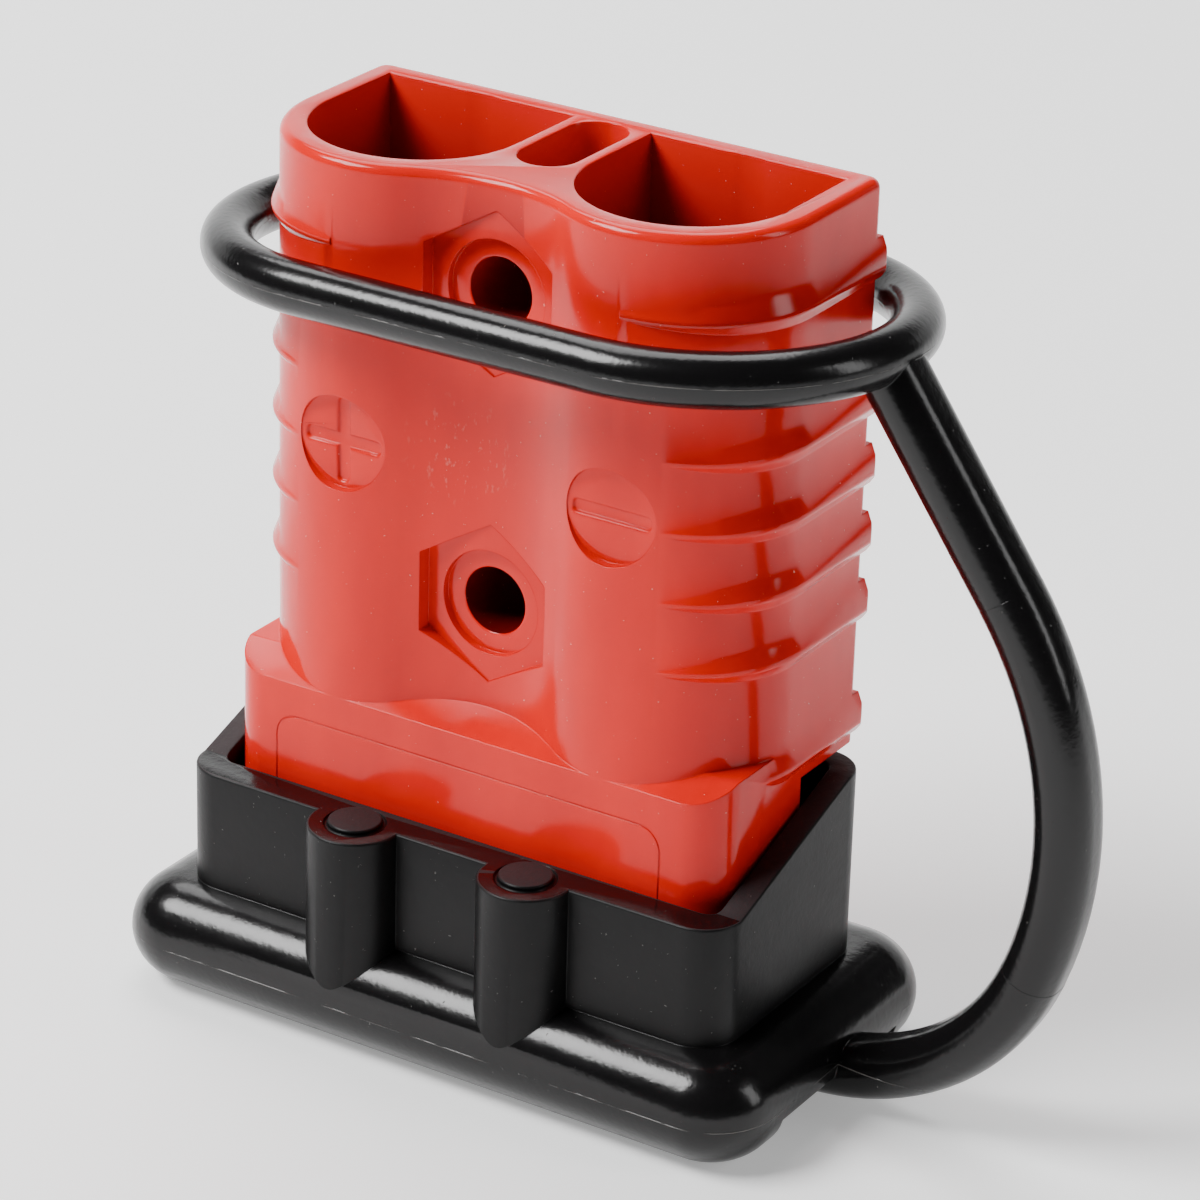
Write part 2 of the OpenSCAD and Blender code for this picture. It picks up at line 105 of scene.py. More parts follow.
@dataclass(frozen=True)
class Nodes:
    """A thin wrapper that adds and links shader nodes in one material."""

    material: bpy.types.Material

    @classmethod
    def fresh(cls, name: str) -> "Nodes":
        """Starts a material that holds only its Principled shader and output.

        Args:
            name: name of the new material.
        Returns:
            The wrapper round that material.
        """
        material = bpy.data.materials.new(name)
        material.use_nodes = True
        return cls(material)

    @property
    def shader(self) -> bpy.types.Node:
        """The Principled shader of the material."""
        return self.material.node_tree.nodes["Principled BSDF"]

    def add(self, kind: str, **settings: object) -> bpy.types.Node:
        """Adds one node.

        Args:
            kind: the node's type name, without its ShaderNode prefix.
            settings: attributes, or values of inputs where the name is an input's.
        Returns:
            The new node.
        """
        node = self.material.node_tree.nodes.new("ShaderNode" + kind)
        for key, value in settings.items():
            socket = node.inputs.get(key.replace("_", " "))
            if socket is None:
                setattr(node, key, value)
            else:
                socket.default_value = value
        return node

    def feed(self, target: bpy.types.NodeSocket, value: object) -> None:
        """Links an input to another node's output, or gives it a plain value.

        Args:
            target: the input.
            value: the other node's output, or the plain value.
        """
        if isinstance(value, bpy.types.NodeSocket):
            self.material.node_tree.links.new(value, target)
        else:
            target.default_value = value

    def set(self, **values: object) -> None:
        """Feeds inputs of the Principled shader, each named with _ for a space."""
        for key, value in values.items():
            self.feed(self.shader.inputs[key.replace("_", " ")], value)

    def place(self) -> bpy.types.NodeSocket:
        """Adds the point's place in the piece's own coordinates."""
        return self.add("TexCoord").outputs["Object"]

    def noise(self, scale: float, detail: float, stretch: tuple = (1, 1, 1)) -> bpy.types.NodeSocket:
        """Adds noise in object coordinates.

        Args:
            scale: cells a metre.
            detail: octaves of the noise.
            stretch: how much finer the noise is along each axis.
        Returns:
            The noise's factor.
        """
        mapping = self.add("Mapping", Scale=stretch)
        noise = self.add("TexNoise", Scale=scale, Detail=detail, Roughness=0.55)
        self.feed(mapping.inputs["Vector"], self.place())
        self.feed(noise.inputs["Vector"], mapping.outputs["Vector"])
        return noise.outputs["Fac"]

    def ramp(self, factor: bpy.types.NodeSocket, low: float, high: float) -> bpy.types.NodeSocket:
        """Turns a factor into 0 at low and 1 at high, held beyond both.

        Args:
            factor: what is read.
            low: where the result leaves 0.
            high: where the result reaches 1, which may be less than low.
        Returns:
            The clamped result.
        """
        node = self.add("MapRange", clamp=True, From_Min=low, From_Max=high)
        self.feed(node.inputs["Value"], factor)
        return node.outputs["Result"]

    def between(self, factor: bpy.types.NodeSocket, low: float, high: float) -> bpy.types.NodeSocket:
        """Spreads a factor of 0 to 1 over a range.

        Args:
            factor: what is spread.
            low: the result at 0.
            high: the result at 1.
        Returns:
            The spread factor.
        """
        node = self.add("MapRange", clamp=True, To_Min=low, To_Max=high)
        self.feed(node.inputs["Value"], factor)
        return node.outputs["Result"]

    def blend(self, factor: bpy.types.NodeSocket, a: object, b: tuple) -> bpy.types.NodeSocket:
        """Blends two colours.

        Args:
            factor: 0 for a and 1 for b.
            a: first colour, or the socket that gives it.
            b: second colour.
        Returns:
            The blended colour.
        """
        node = self.add("Mix", data_type="RGBA")
        self.feed(node.inputs[0], factor)
        self.feed(node.inputs[6], (*a, 1) if isinstance(a, tuple) else a)
        self.feed(node.inputs[7], (*b, 1))
        return node.outputs[2]

    def work_out(self, operation: str, *values: object) -> bpy.types.NodeSocket:
        """Adds a calculation with numbers.

        Args:
            operation: name of the calculation, such as MULTIPLY.
            values: sockets or plain numbers to work with.
        Returns:
            The result.
        """
        node = self.add("Math", operation=operation)
        for target, value in zip(node.inputs, values):
            self.feed(target, value)
        return node.outputs[0]

    def measure(self, operation: str, point: bpy.types.NodeSocket, other: tuple) -> bpy.types.Node:
        """Adds a calculation with a point and a fixed vector.

        Args:
            operation: name of the calculation, such as DISTANCE.
            point: the point.
            other: the vector that it is measured against.
        Returns:
            The node, whose outputs are a vector and a value.
        """
        node = self.add("VectorMath", operation=operation)
        self.feed(node.inputs[0], point)
        self.feed(node.inputs[1], other)
        return node

    def relief(self, heights: Iterable[tuple], soften: float) -> None:
        """Bumps the shader's normal, over edges that are softened first.

        Args:
            heights: pairs of a height socket and its depth in metres.
            soften: radius in metres over which edges are rounded in the shading.
        """
        normal = self.add("Bevel", samples=6, Radius=soften).outputs["Normal"]
        for height, depth in heights:
            bump = self.add("Bump", Distance=depth, Strength=1.0)
            self.feed(bump.inputs["Height"], height)
            self.feed(bump.inputs["Normal"], normal)
            normal = bump.outputs["Normal"]
        self.set(Normal=normal)


@dataclass(frozen=True)
class RedMoulding:
    """Glossy red plastic with faint flow marks, a scuffed patch and dust; where shade heights are given,
    painted shade darkens it lower down instead of the flow marks.
    """

    colour: tuple = (0.70, 0.010, 0.005)
    # darker colour of the flow marks, or the painted shade colour at the lowest shade height
    flow_and_shade_colour: tuple = (0.58, 0.006, 0.003)
    dust: tuple = (0.80, 0.28, 0.22)
    roughness: float = 0.13
    roughness_spread: tuple = (-0.03, 0.07)
    gloss_scale: float = 260
    specular: float = 0.24
    painted_shade_heights: tuple = ()  # heights over which painted shade darkens the colour towards the lower one
    flow_scale: float = 90
    flow_range: tuple = (0.35, 0.7)
    speck_scale: float = 2600
    speck_range: tuple = (0.735, 0.77)
    scratch_scale: float = 2000
    scratch_range: tuple = (0.6, 0.68)
    scuff_at: tuple = (-3 * MM, -9.6 * MM, 61 * MM)
    scuff_reach: float = 6.5 * MM
    scuff_core: float = 0.3  # share of the reach
    scuff_strength: float = 0.35
    wave_scale: float = 300
    wave_depth: float = 0.02 * MM
    mark_depth: float = 0.04 * MM
    soft_edge: float = 0.18 * MM

    def make(self, name: str) -> bpy.types.Material:
        """Builds the material.

        Args:
            name: name of the new material.
        Returns:
            The material.
        """
        nodes = Nodes.fresh(name)
        specks = nodes.ramp(nodes.noise(self.speck_scale, 2), *self.speck_range)
        marks = nodes.work_out("MAXIMUM", self.scuffs(nodes), specks)
        base = nodes.blend(self.flow_and_shade_share(nodes), self.flow_and_shade_colour, self.colour)
        smooth, rough = (self.roughness + spread for spread in self.roughness_spread)
        nodes.set(
            Base_Color=nodes.blend(marks, base, self.dust),
            Roughness=nodes.between(nodes.noise(self.gloss_scale, 4), smooth, rough),
            IOR=PLASTIC_IOR,
            Specular_IOR_Level=self.specular,
        )
        waves = nodes.noise(self.wave_scale, 1)
        nodes.relief([(waves, self.wave_depth), (marks, self.mark_depth)], self.soft_edge)
        return nodes.material

    def flow_and_shade_share(self, nodes: Nodes) -> bpy.types.NodeSocket:
        """Adds the share of the full colour, which is painted shade rising to full colour with height
        where shade heights are given.

        Args:
            nodes: the material's nodes.
        Returns:
            The share, which follows faint flow marks where no shade heights are given.
        """
        if not self.painted_shade_heights:
            return nodes.ramp(nodes.noise(self.flow_scale, 3, (1, 1, 0.4)), *self.flow_range)
        # Painted shade: the colour darkens lower down, by height alone.
        split = nodes.add("SeparateXYZ")
        nodes.feed(split.inputs[0], nodes.place())
        return nodes.ramp(split.outputs["Z"], *self.painted_shade_heights)

    def scuffs(self, nodes: Nodes) -> bpy.types.NodeSocket:
        """Adds the scuffed patch on the wall between the poles.

        Args:
            nodes: the material's nodes.
        Returns:
            How scuffed the surface is.
        """
        apart = nodes.measure("DISTANCE", nodes.place(), self.scuff_at).outputs["Value"]
        near = nodes.ramp(apart, self.scuff_reach, self.scuff_core * self.scuff_reach)
        scratch = nodes.ramp(nodes.noise(self.scratch_scale, 6, (1, 1, 0.5)), *self.scratch_range)
        patch = nodes.work_out("MULTIPLY", near, scratch)
        return nodes.work_out("MULTIPLY", patch, self.scuff_strength)


@dataclass(frozen=True)
class Seam:
    """The plane in which two halves of the mould met."""

    point: tuple
    normal: tuple


@dataclass(frozen=True)
class BlackMoulding:
    """Black flexible plastic with fine dust, wipe marks and the mould's parting lines, which are bumped
    and whose light colour is a painted highlight.
    """

    gloss: Gloss
    colour: tuple = (0.004, 0.0038, 0.004)
    # also the colour of the painted highlight along the parting lines
    dust: tuple = (0.10, 0.095, 0.09)
    roughness_spread: float = 0.05
    gloss_scale: float = 320
    specular: float = 0.2
    polished_specular: float = 0.32
    seams: tuple = ()
    seam_half: float = 0.07 * MM
    seam_core: float = 0.4  # share of the half width
    break_scale: float = 260
    break_range: tuple = (0.42, 0.6)
    speck_scale: float = 2100
    speck_range: tuple = (0.73, 0.77)
    wave_scale: float = 500
    wave_depth: float = 0.02 * MM
    grain_scale: float = 1500
    grain_depth: float = 0.02 * MM
    worn_grain_depth: float = 0.06 * MM
    mark_depth: float = 0.05 * MM
    soft_edge: float = 0.2 * MM

    def make(self, name: str) -> bpy.types.Material:
        """Builds the material.

        Args:
            name: name of the new material.
        Returns:
            The material.
        """
        nodes = Nodes.fresh(name)
        marks = nodes.ramp(nodes.noise(self.speck_scale, 2), *self.speck_range)
        # Painted highlight: each parting line is a real, bumped seam whose light colour stands in for
        # light on its flash.
        for seam in self.seams:
            marks = nodes.work_out("MAXIMUM", self.seam_highlight(nodes, seam), marks)
        uneven = nodes.noise(self.gloss_scale, 5, (1, 1, 2.5))
        smooth = self.gloss.value - self.roughness_spread
        rough = self.gloss.value + self.roughness_spread
        nodes.set(
            Base_Color=nodes.blend(marks, self.colour, self.dust),
            Roughness=nodes.between(uneven, smooth, rough),
            IOR=PLASTIC_IOR,
            Specular_IOR_Level=self.polished_specular if self.gloss is Gloss.POLISHED else self.specular,
        )
        waves = nodes.noise(self.wave_scale, 3)
        grains = nodes.noise(self.grain_scale, 2)
        grain_depth = self.worn_grain_depth if self.gloss is Gloss.WORN_WITH_REFLECTION else self.grain_depth
        heights = [(waves, self.wave_depth), (grains, grain_depth), (marks, self.mark_depth)]
        nodes.relief(heights, self.soft_edge)
        return nodes.material

    def seam_highlight(self, nodes: Nodes, seam: Seam) -> bpy.types.NodeSocket:
        """Adds a broken line of painted highlight where the mould's halves met.

        Args:
            nodes: the material's nodes.
            seam: the plane of the line.
        Returns:
            Where the line shows.
        """
        shift = nodes.measure("SUBTRACT", nodes.place(), seam.point).outputs[0]
        height = nodes.measure("DOT_PRODUCT", shift, seam.normal).outputs["Value"]
        away = nodes.work_out("ABSOLUTE", height)
        line = nodes.ramp(away, self.seam_half, self.seam_core * self.seam_half)
        breaks = nodes.ramp(nodes.noise(self.break_scale, 4), *self.break_range)
        return nodes.work_out("MULTIPLY", line, breaks)


@dataclass(frozen=True)
class PlatedMetal:
    """Plated copper or bright steel with fine drawing lines."""

    colour: tuple
    roughness: float
    roughness_spread: tuple = (-0.06, 0.1)
    dark_share: float = 0.82
    line_scale: float = 900
    line_depth: float = 0.01 * MM
    soft_edge: float = 0.15 * MM

    def make(self, name: str) -> bpy.types.Material:
        """Builds the material.

        Args:
            name: name of the new material.
        Returns:
            The material.
        """
        nodes = Nodes.fresh(name)
        drawn = nodes.noise(self.line_scale, 3, (1, 1, 0.05))
        darker = tuple(self.dark_share * c for c in self.colour)
        smooth, rough = (self.roughness + spread for spread in self.roughness_spread)
        nodes.set(
            Metallic=1.0,
            Base_Color=nodes.blend(drawn, darker, self.colour),
            Roughness=nodes.between(drawn, smooth, rough),
        )
        nodes.relief([(drawn, self.line_depth)], self.soft_edge)
        return nodes.material


@dataclass(frozen=True)
class PaleSweep:
    """Pale matt sheet with a faint glow, on which the connector stands."""

    colour: tuple = (0.88, 0.88, 0.88)
    dark_share: float = 0.985
    mottle_scale: float = 300
    roughness: float = 0.9
    specular: float = 0.1
    glow: float = 0.35

    def make(self, name: str) -> bpy.types.Material:
        """Builds the material.

        Args:
            name: name of the new material.
        Returns:
            The material.
        """
        nodes = Nodes.fresh(name)
        darker = tuple(self.dark_share * c for c in self.colour)
        nodes.set(
            Base_Color=nodes.blend(nodes.noise(self.mottle_scale, 2), darker, self.colour),
            Roughness=self.roughness,
            Specular_IOR_Level=self.specular,
            Emission_Color=(1, 1, 1, 1),
            Emission_Strength=self.glow,
        )
        return nodes.material


# ---------------------------------------------------------------- workshop


class Workshop:
    """The modelling operations that every sub-assembly uses."""

    @staticmethod
    def pick(piece: bpy.types.Object) -> None:
        """Makes a piece the only selected and active object.

        Args:
            piece: the piece that is worked on next.
        """
        bpy.ops.object.select_all(action="DESELECT")
        piece.select_set(True)
        bpy.context.view_layer.objects.active = piece

    @staticmethod
    def unmark(mesh: bpy.types.Mesh) -> None:
        """Takes the selection off all points, edges and faces of a mesh."""
        for item in (*mesh.vertices, *mesh.edges, *mesh.polygons):
            item.select = False

    @staticmethod
    def edit(points: bool = False, edges: bool = False, faces: bool = False) -> None:
        """Enters edit mode, to work on what is marked of one kind."""
        bpy.context.tool_settings.mesh_select_mode = (points, edges, faces)
        bpy.ops.object.mode_set(mode="EDIT")

    @staticmethod
    def leave() -> None:
        """Leaves edit mode with nothing marked."""
        bpy.ops.mesh.select_all(action="DESELECT")
        bpy.ops.object.mode_set(mode="OBJECT")

    @staticmethod
    def merge(piece: bpy.types.Object, apart: float, flatten: bool) -> None:
        """Merges the points of a piece that lie close together.

        Args:
            piece: the piece to work on.
            apart: widest distance that is merged.
            flatten: whether faces in one plane are then joined.
        """
        Workshop.pick(piece)
        bpy.ops.object.mode_set(mode="EDIT")
        bpy.ops.mesh.select_all(action="SELECT")
        bpy.ops.mesh.remove_doubles(threshold=apart)
        if flatten:
            bpy.ops.mesh.dissolve_limited(angle_limit=FLAT_ANGLE)
        Workshop.leave()

    @staticmethod
    def copy_of(node: str, name: str) -> bpy.types.Object:
        """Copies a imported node's mesh into a new closed piece.

        Args:
            node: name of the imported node.
            name: name of the new piece.
        Returns:
            The new piece.
        """
        piece = bpy.data.objects.new(name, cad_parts[node].data.copy())
        bpy.context.scene.collection.objects.link(piece)
        piece.data.materials.clear()
        Workshop.pick(piece)
        bpy.ops.mesh.customdata_custom_splitnormals_clear()
        Workshop.merge(piece, WELD_PACKED, flatten=False)
        return piece

    @staticmethod
    def block(centre: Vector, size: Vector) -> bpy.types.Object:
        """Adds a block to cut with.

        Args:
            centre: its middle.
            size: its length along each axis.
        Returns:
            The block, with its place and size applied to its mesh.
        """
        bpy.ops.object.select_all(action="DESELECT")
        bpy.ops.mesh.primitive_cube_add(size=1, location=centre, scale=size)
        bpy.ops.object.transform_apply(location=True, rotation=True, scale=True)
        return bpy.context.active_object

    @staticmethod
    def combine(piece: bpy.types.Object, tool: bpy.types.Object, cut: Cut) -> None:
        """Cuts a piece with a tool, or keeps what they share, and removes the tool.

        Args:
            piece: the piece that is changed.
            tool: the shape that it is changed with.
            cut: what the tool does.
        """
        Workshop.pick(piece)
        modifier = piece.modifiers.new("combine", "BOOLEAN")
        modifier.operation = cut.value
        modifier.solver = "EXACT"
        modifier.object = tool
        bpy.ops.object.modifier_apply(modifier=modifier.name)
        bpy.data.objects.remove(tool)

    @staticmethod
    def round_edges(
        piece: bpy.types.Object, wanted: Callable[[Edge], bool], radius: float, steps: int
    ) -> int:
        """Bevels the edges that a test picks.

        Args:
            piece: the piece to work on.
            wanted: says if an edge is rounded.
            radius: size of the round, in metres.
            steps: segments in the round.
        Returns:
            How many edges were rounded.
        """
        Workshop.pick(piece)
        mesh = piece.data
        faces: dict = {}
        for face in mesh.polygons:
            for key in face.edge_keys:
                faces.setdefault(key, []).append(face.normal)
        Workshop.unmark(mesh)
        chosen = 0
        for edge in mesh.edges:
            sides = faces.get(edge.key, [])
            ends = tuple(mesh.vertices[i].co for i in edge.vertices)
            if len(sides) == 2 and wanted(Edge(ends, tuple(sides))):
                edge.select = True
                chosen += 1
        if chosen:
            Workshop.edit(edges=True)
            bpy.ops.mesh.bevel(
                offset=radius, segments=steps, profile=0.5, affect="EDGES", clamp_overlap=False
            )
            Workshop.leave()
        return chosen

    @staticmethod
    def settle(piece: bpy.types.Object) -> None:
        """Applies the place of a piece to its mesh and shades its gentle edges smooth.

        Args:
            piece: the piece to work on.
        """
        Workshop.pick(piece)
        bpy.ops.object.transform_apply(location=True, rotation=True, scale=True)
        bpy.ops.object.shade_smooth_by_angle(angle=SMOOTH_ANGLE)

    @staticmethod
    def mount(piece: bpy.types.Object, slot: str) -> None:
        """Fixes a piece to the object and logs how many faces it has.

        Args:
            piece: the piece.
            slot: not used.
        """
        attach(piece, "root")
        log.info("%s: %d faces", piece.name, len(piece.data.polygons))


# ---------------------------------------------------------------- housing


@dataclass
class Housing:
    """The red moulding with its cable entries, mounting holes, ribs, hood and pole signs."""

    finish: RedMoulding = field(default_factory=RedMoulding)
    # Painted shade inside the cable entries, the slot and the holes: a darker red that darkens further
    # down into them.
    inside_shaded_colour: tuple = (0.60, 0.008, 0.005)
    inside_painted_shade: tuple = (0.09, 0.002, 0.002)
    inside_roughness: float = 0.3
    inside_shade_depth: float = 15 * MM
    half_width: float = 28 * MM
    lobe_radius: float = 13.05 * MM
    back_edge: float = 1.5 * MM
    rib_out: float = 0.95 * MM
    entry_centre: tuple = (14.85 * MM, 0.1 * MM)
    entry_radius: float = 10.55 * MM
    entry_depth: float = 22.5 * MM
    lip_depth: float = 0.6 * MM
    opening_slack: float = 0.3 * MM
    web_half: float = 4.2 * MM
    web_span: tuple = (-0.6, 0.9)  # shares of the lobe radius
    slot_half: float = 3.2 * MM
    slot_depth: float = 6 * MM
    hole_radius: float = 3.35 * MM
    hole_drops: tuple = (11.1 * MM, 42.3 * MM)
    hole_rim_slack: float = 0.04 * MM
    hole_wall_slack: float = 0.05 * MM
    hole_wall_tilt: float = 0.3  # most that a wall's normal points along the hole
    mark_drop: float = 28.3 * MM
    mark_floor: float = 12.0 * MM
    disc_radius: float = 4.8 * MM
    disc_floor: float = 0.97  # share of the disc radius
    sign_length: float = 8.4 * MM
    sign_width: float = 1.25 * MM
    sign_depth: float = 0.35 * MM
    sign_corner: float = 0.35  # share of the sign width
    sign_floor_round: float = 0.15 * MM
    insert_half: float = 22 * MM
    insert_top: float = 30.3 * MM
    insert_corner: float = 2.4 * MM
    insert_line: float = 0.14 * MM
    insert_depth: float = 0.08 * MM
    tool_spare: float = 1 * MM
    rim_round: float = 0.95 * MM
    mouth_round: float = 0.18 * MM
    sign_round: float = 0.26 * MM
    hole_round: float = 0.2 * MM
    steep: float = 1.2  # radians between two faces
    apart_in_rise: float = 0.5  # between the upward parts of two normals
    low: Vector = field(init=False)
    high: Vector = field(init=False)

    def __post_init__(self) -> None:
        """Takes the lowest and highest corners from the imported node."""
        self.low, self.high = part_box("housing")

    @property
    def lobe_x(self) -> float:
        """How far the middle of a lobe lies from the middle of the body."""
        return self.half_width - self.lobe_radius

    def build(self) -> None:
        """Builds the moulding with its signs and its mould lines."""
        piece = Workshop.copy_of("housing", "housing_moulding")
        self.round_rib_ends(piece)
        self.engrave(piece, -self.lobe_x, Axis.ACROSS)
        self.engrave(piece, -self.lobe_x, Axis.UPRIGHT)
        self.engrave(piece, self.lobe_x, Axis.ACROSS)
        self.score_insert(piece)
        Workshop.merge(piece, WELD_CUT, flatten=True)
        self.soften(piece)
        self.dress(piece)
        Workshop.settle(piece)
        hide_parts("housing")
        Workshop.mount(piece, "housing_plastic")

    def soften(self, piece: bpy.types.Object) -> None:
        """Rounds the outer rim, the mouths at the cable end, the signs and the holes.

        The rim comes first, so that only the mouths are still sharp at the cable end.

        Args:
            piece: the moulding.
        """
        rim = Workshop.round_edges(piece, self.on_outer_rim, self.rim_round, steps=6)
        mouths = Workshop.round_edges(piece, self.on_cable_end, self.mouth_round, steps=2)
        signs = Workshop.round_edges(piece, self.on_sign_rim, self.sign_round, steps=3)
        holes = Workshop.round_edges(piece, self.on_hole_mouth, self.hole_round, steps=3)
        log.info("edges rounded: rim %d, mouths %d, signs %d, holes %d", rim, mouths, signs, holes)

    def dress(self, piece: bpy.types.Object) -> None:
        """Gives the outside and the insides of the openings their finishes, the insides with painted
        shade that darkens downward.

        Args:
            piece: the moulding.
        """
        # Painted shade: the insides darken downward to their deepest colour 15 mm below the cable end.
        inside = RedMoulding(
            colour=self.inside_shaded_colour,
            flow_and_shade_colour=self.inside_painted_shade,
            roughness=self.inside_roughness,
            painted_shade_heights=(self.high.z - self.inside_shade_depth, self.high.z),
        )
        piece.data.materials.append(self.finish.make("red_moulding"))
        piece.data.materials.append(inside.make("red_moulding_inside_shaded"))
        for face in piece.data.polygons:
            face.material_index = int(self.in_opening(face.center, face.normal))

    def in_opening(self, point: Vector, normal: Vector) -> bool:
        """Says if a face lies inside a cable entry, the coring slot or a mounting hole.

        Args:
            point: middle of the face.
            normal: its direction.
        Returns:
            Whether it gets the finish of the insides.
        """
        down = self.high.z - point.z
        across = abs(point.x) - self.entry_centre[0]
        back = point.y - self.entry_centre[1]
        reach = self.entry_radius + self.opening_slack
        if self.lip_depth < down < self.entry_depth + self.opening_slack and back < reach:
            away = math.hypot(across, back) if back < 0 else abs(across)
            if away < reach:
                return True
        if self.lip_depth < down < self.slot_depth + self.opening_slack and abs(point.x) < self.slot_half:
            if abs(back) < self.entry_radius:
                return True
        on_wall = self.from_hole(point) < self.hole_radius + self.hole_wall_slack
        return on_wall and abs(normal.y) < self.hole_wall_tilt

    def from_hole(self, point: Vector) -> float:
        """How far a point lies from the axis of the nearer mounting hole."""
        return min(math.hypot(point.x, self.high.z - point.z - drop) for drop in self.hole_drops)

    def on_outer_rim(self, edge: Edge) -> bool:
        """Says if an edge is part of the outer rim at the cable end.

        Args:
            edge: the edge that is looked at.
        Returns:
            Whether it is, which leaves out the mouths and the slot in the web.
        """
        if not self.on_cable_end(edge):
            return False
        middle = edge.middle
        front, back = (share * self.lobe_radius for share in self.web_span)
        if abs(middle.x) < self.web_half and front < middle.y < back:
            return False
        wall = min(edge.sides, key=lambda normal: abs(normal.z))
        entry_x = math.copysign(self.entry_centre[0], middle.x)
        return wall.dot(Vector((middle.x - entry_x, middle.y - self.entry_centre[1], 0))) > 0

    def on_cable_end(self, edge: Edge) -> bool:
        """Says if an edge lies in the top face, between that face and a wall."""
        level = min(end.z for end in edge.ends) > self.high.z - NEAR
        return level and abs(edge.sides[0].z - edge.sides[1].z) > self.apart_in_rise

    def on_sign_rim(self, edge: Edge) -> bool:
        """Says if an edge is the rim of an engraved bar.

        Args:
            edge: the edge that is looked at.
        Returns:
            Whether it lies in the floor of a disc and folds steeply.
        """
        middle = edge.middle
        away = math.hypot(abs(middle.x) - self.lobe_x, middle.z - self.high.z + self.mark_drop)
        rim = away < self.disc_floor * self.disc_radius and abs(middle.y + self.mark_floor) < NEAR
        return rim and edge.fold > self.steep

    def on_hole_mouth(self, edge: Edge) -> bool:
        """Says if an edge is the front mouth of a mounting hole."""
        rim = abs(self.from_hole(edge.middle) - self.hole_radius) < self.hole_rim_slack
        return rim and edge.middle.y < 0 and edge.fold > self.steep

    def round_rib_ends(self, piece: bpy.types.Object) -> None:
        """Rounds the ribs' ends to follow the back edges of the body.

        Args:
            piece: the moulding.
        """
        radius = self.back_edge + self.rib_out
        half = self.half_width + self.rib_out + NEAR
        back = self.lobe_radius - self.back_edge + radius
        front = -self.lobe_radius - self.tool_spare
        centre = Vector((0, (front + back) / 2, self.high.z / 2))
        size = Vector((2 * half, back - front, self.high.z + 2 * self.tool_spare))
        tool = Workshop.block(centre, size)
        Workshop.round_edges(tool, lambda edge: self.on_back_side(edge, half, back), radius, steps=12)
        Workshop.combine(piece, tool, Cut.SHARED)

    @staticmethod
    def on_back_side(edge: Edge, half: float, back: float) -> bool:
        """Says if an edge of a block stands at one end of its back."""
        at_end = abs(abs(edge.middle.x) - half) < SAME_PLACE
        return at_end and abs(edge.middle.y - back) < SAME_PLACE

    def engrave(self, piece: bpy.types.Object, x: float, axis: Axis) -> None:
        """Cuts one bar of a pole sign into the floor of its disc.

        Args:
            piece: the moulding.
            x: place of the bar's middle across the body.
            axis: which way the bar runs.
        """
        thick = 2 * self.sign_depth
        bar = (self.sign_length, thick, self.sign_width)
        size = bar if axis is Axis.ACROSS else bar[::-1]
        tool = Workshop.block(Vector((x, -self.mark_floor, self.high.z - self.mark_drop)), Vector(size))
        corner = self.sign_corner * self.sign_width
        Workshop.round_edges(tool, self.on_bar_corner, corner, steps=4)
        Workshop.round_edges(tool, self.on_bar_floor, self.sign_floor_round, steps=3)
        Workshop.combine(piece, tool, Cut.AWAY)

    def on_bar_corner(self, edge: Edge) -> bool:
        """Says if an edge of a bar's block runs into the disc, at one of its corners."""
        return abs(edge.middle.y + self.mark_floor) < SAME_PLACE

    def on_bar_floor(self, edge: Edge) -> bool:
        """Says if an edge of a bar's block lies at the bottom of the engraving."""
        return min(end.y for end in edge.ends) > self.sign_depth - self.mark_floor - SAME_PLACE

    def score_insert(self, piece: bpy.types.Object) -> None:
        """Scores the fine line that the mould's insert leaves on the front of the hood.

        Args:
            piece: the moulding.
        """
        high = self.insert_top - self.low.z
        middle = Vector((0, -self.lobe_radius, self.low.z + high / 2 - self.tool_spare))
        size = Vector((2 * self.insert_half, 2 * self.insert_depth, high + 2 * self.tool_spare))
        tool = Workshop.block(middle, size)
        corner = self.insert_corner
        Workshop.round_edges(tool, lambda edge: self.on_insert_corner(edge, middle), corner, steps=8)
        Workshop.unmark(tool.data)
        for face in tool.data.polygons:
            face.select = abs(face.normal.y) > FACES_ALONG
        Workshop.edit(faces=True)
        bpy.ops.mesh.inset(thickness=self.insert_line, use_individual=True)
        bpy.ops.mesh.bridge_edge_loops()
        Workshop.leave()
        Workshop.combine(piece, tool, Cut.AWAY)

    def on_insert_corner(self, edge: Edge, middle: Vector) -> bool:
        """Says if an edge of the insert's block is one of its upper corners.

        Args:
            edge: the edge that is looked at.
            middle: the middle of the block.
        Returns:
            Whether it runs through the block above its middle.
        """
        if abs(edge.middle.y - middle.y) > SAME_PLACE or edge.middle.z < middle.z:
            return False
        return abs(edge.ends[0].y - edge.ends[1].y) > self.insert_depth


# ---------------------------------------------------------------- contacts


@dataclass
class PoleMetal:
    """The contacts and leaf springs inside the housing."""

    plating: PlatedMetal = PlatedMetal((0.80, 0.78, 0.74), 0.25)
    steel: PlatedMetal = PlatedMetal((0.56, 0.57, 0.58), 0.32)

    def build(self) -> None:
        """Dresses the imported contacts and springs."""
        plated = self.plating.make("plated_copper")
        bright = self.steel.make("bright_spring_steel")
        for pole in ("positive", "negative"):
            self.dress("contact_" + pole, plated)
            self.dress("spring_" + pole, bright)

    @staticmethod
    def dress(node: str, material: bpy.types.Material) -> None:
        """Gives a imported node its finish.

        Args:
            node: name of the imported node.
            material: the finish.
        """
        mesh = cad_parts[node].data
        mesh.materials.clear()
        mesh.materials.append(material)
        log.info("%s dressed", node)


# ---------------------------------------------------------------- dust cap


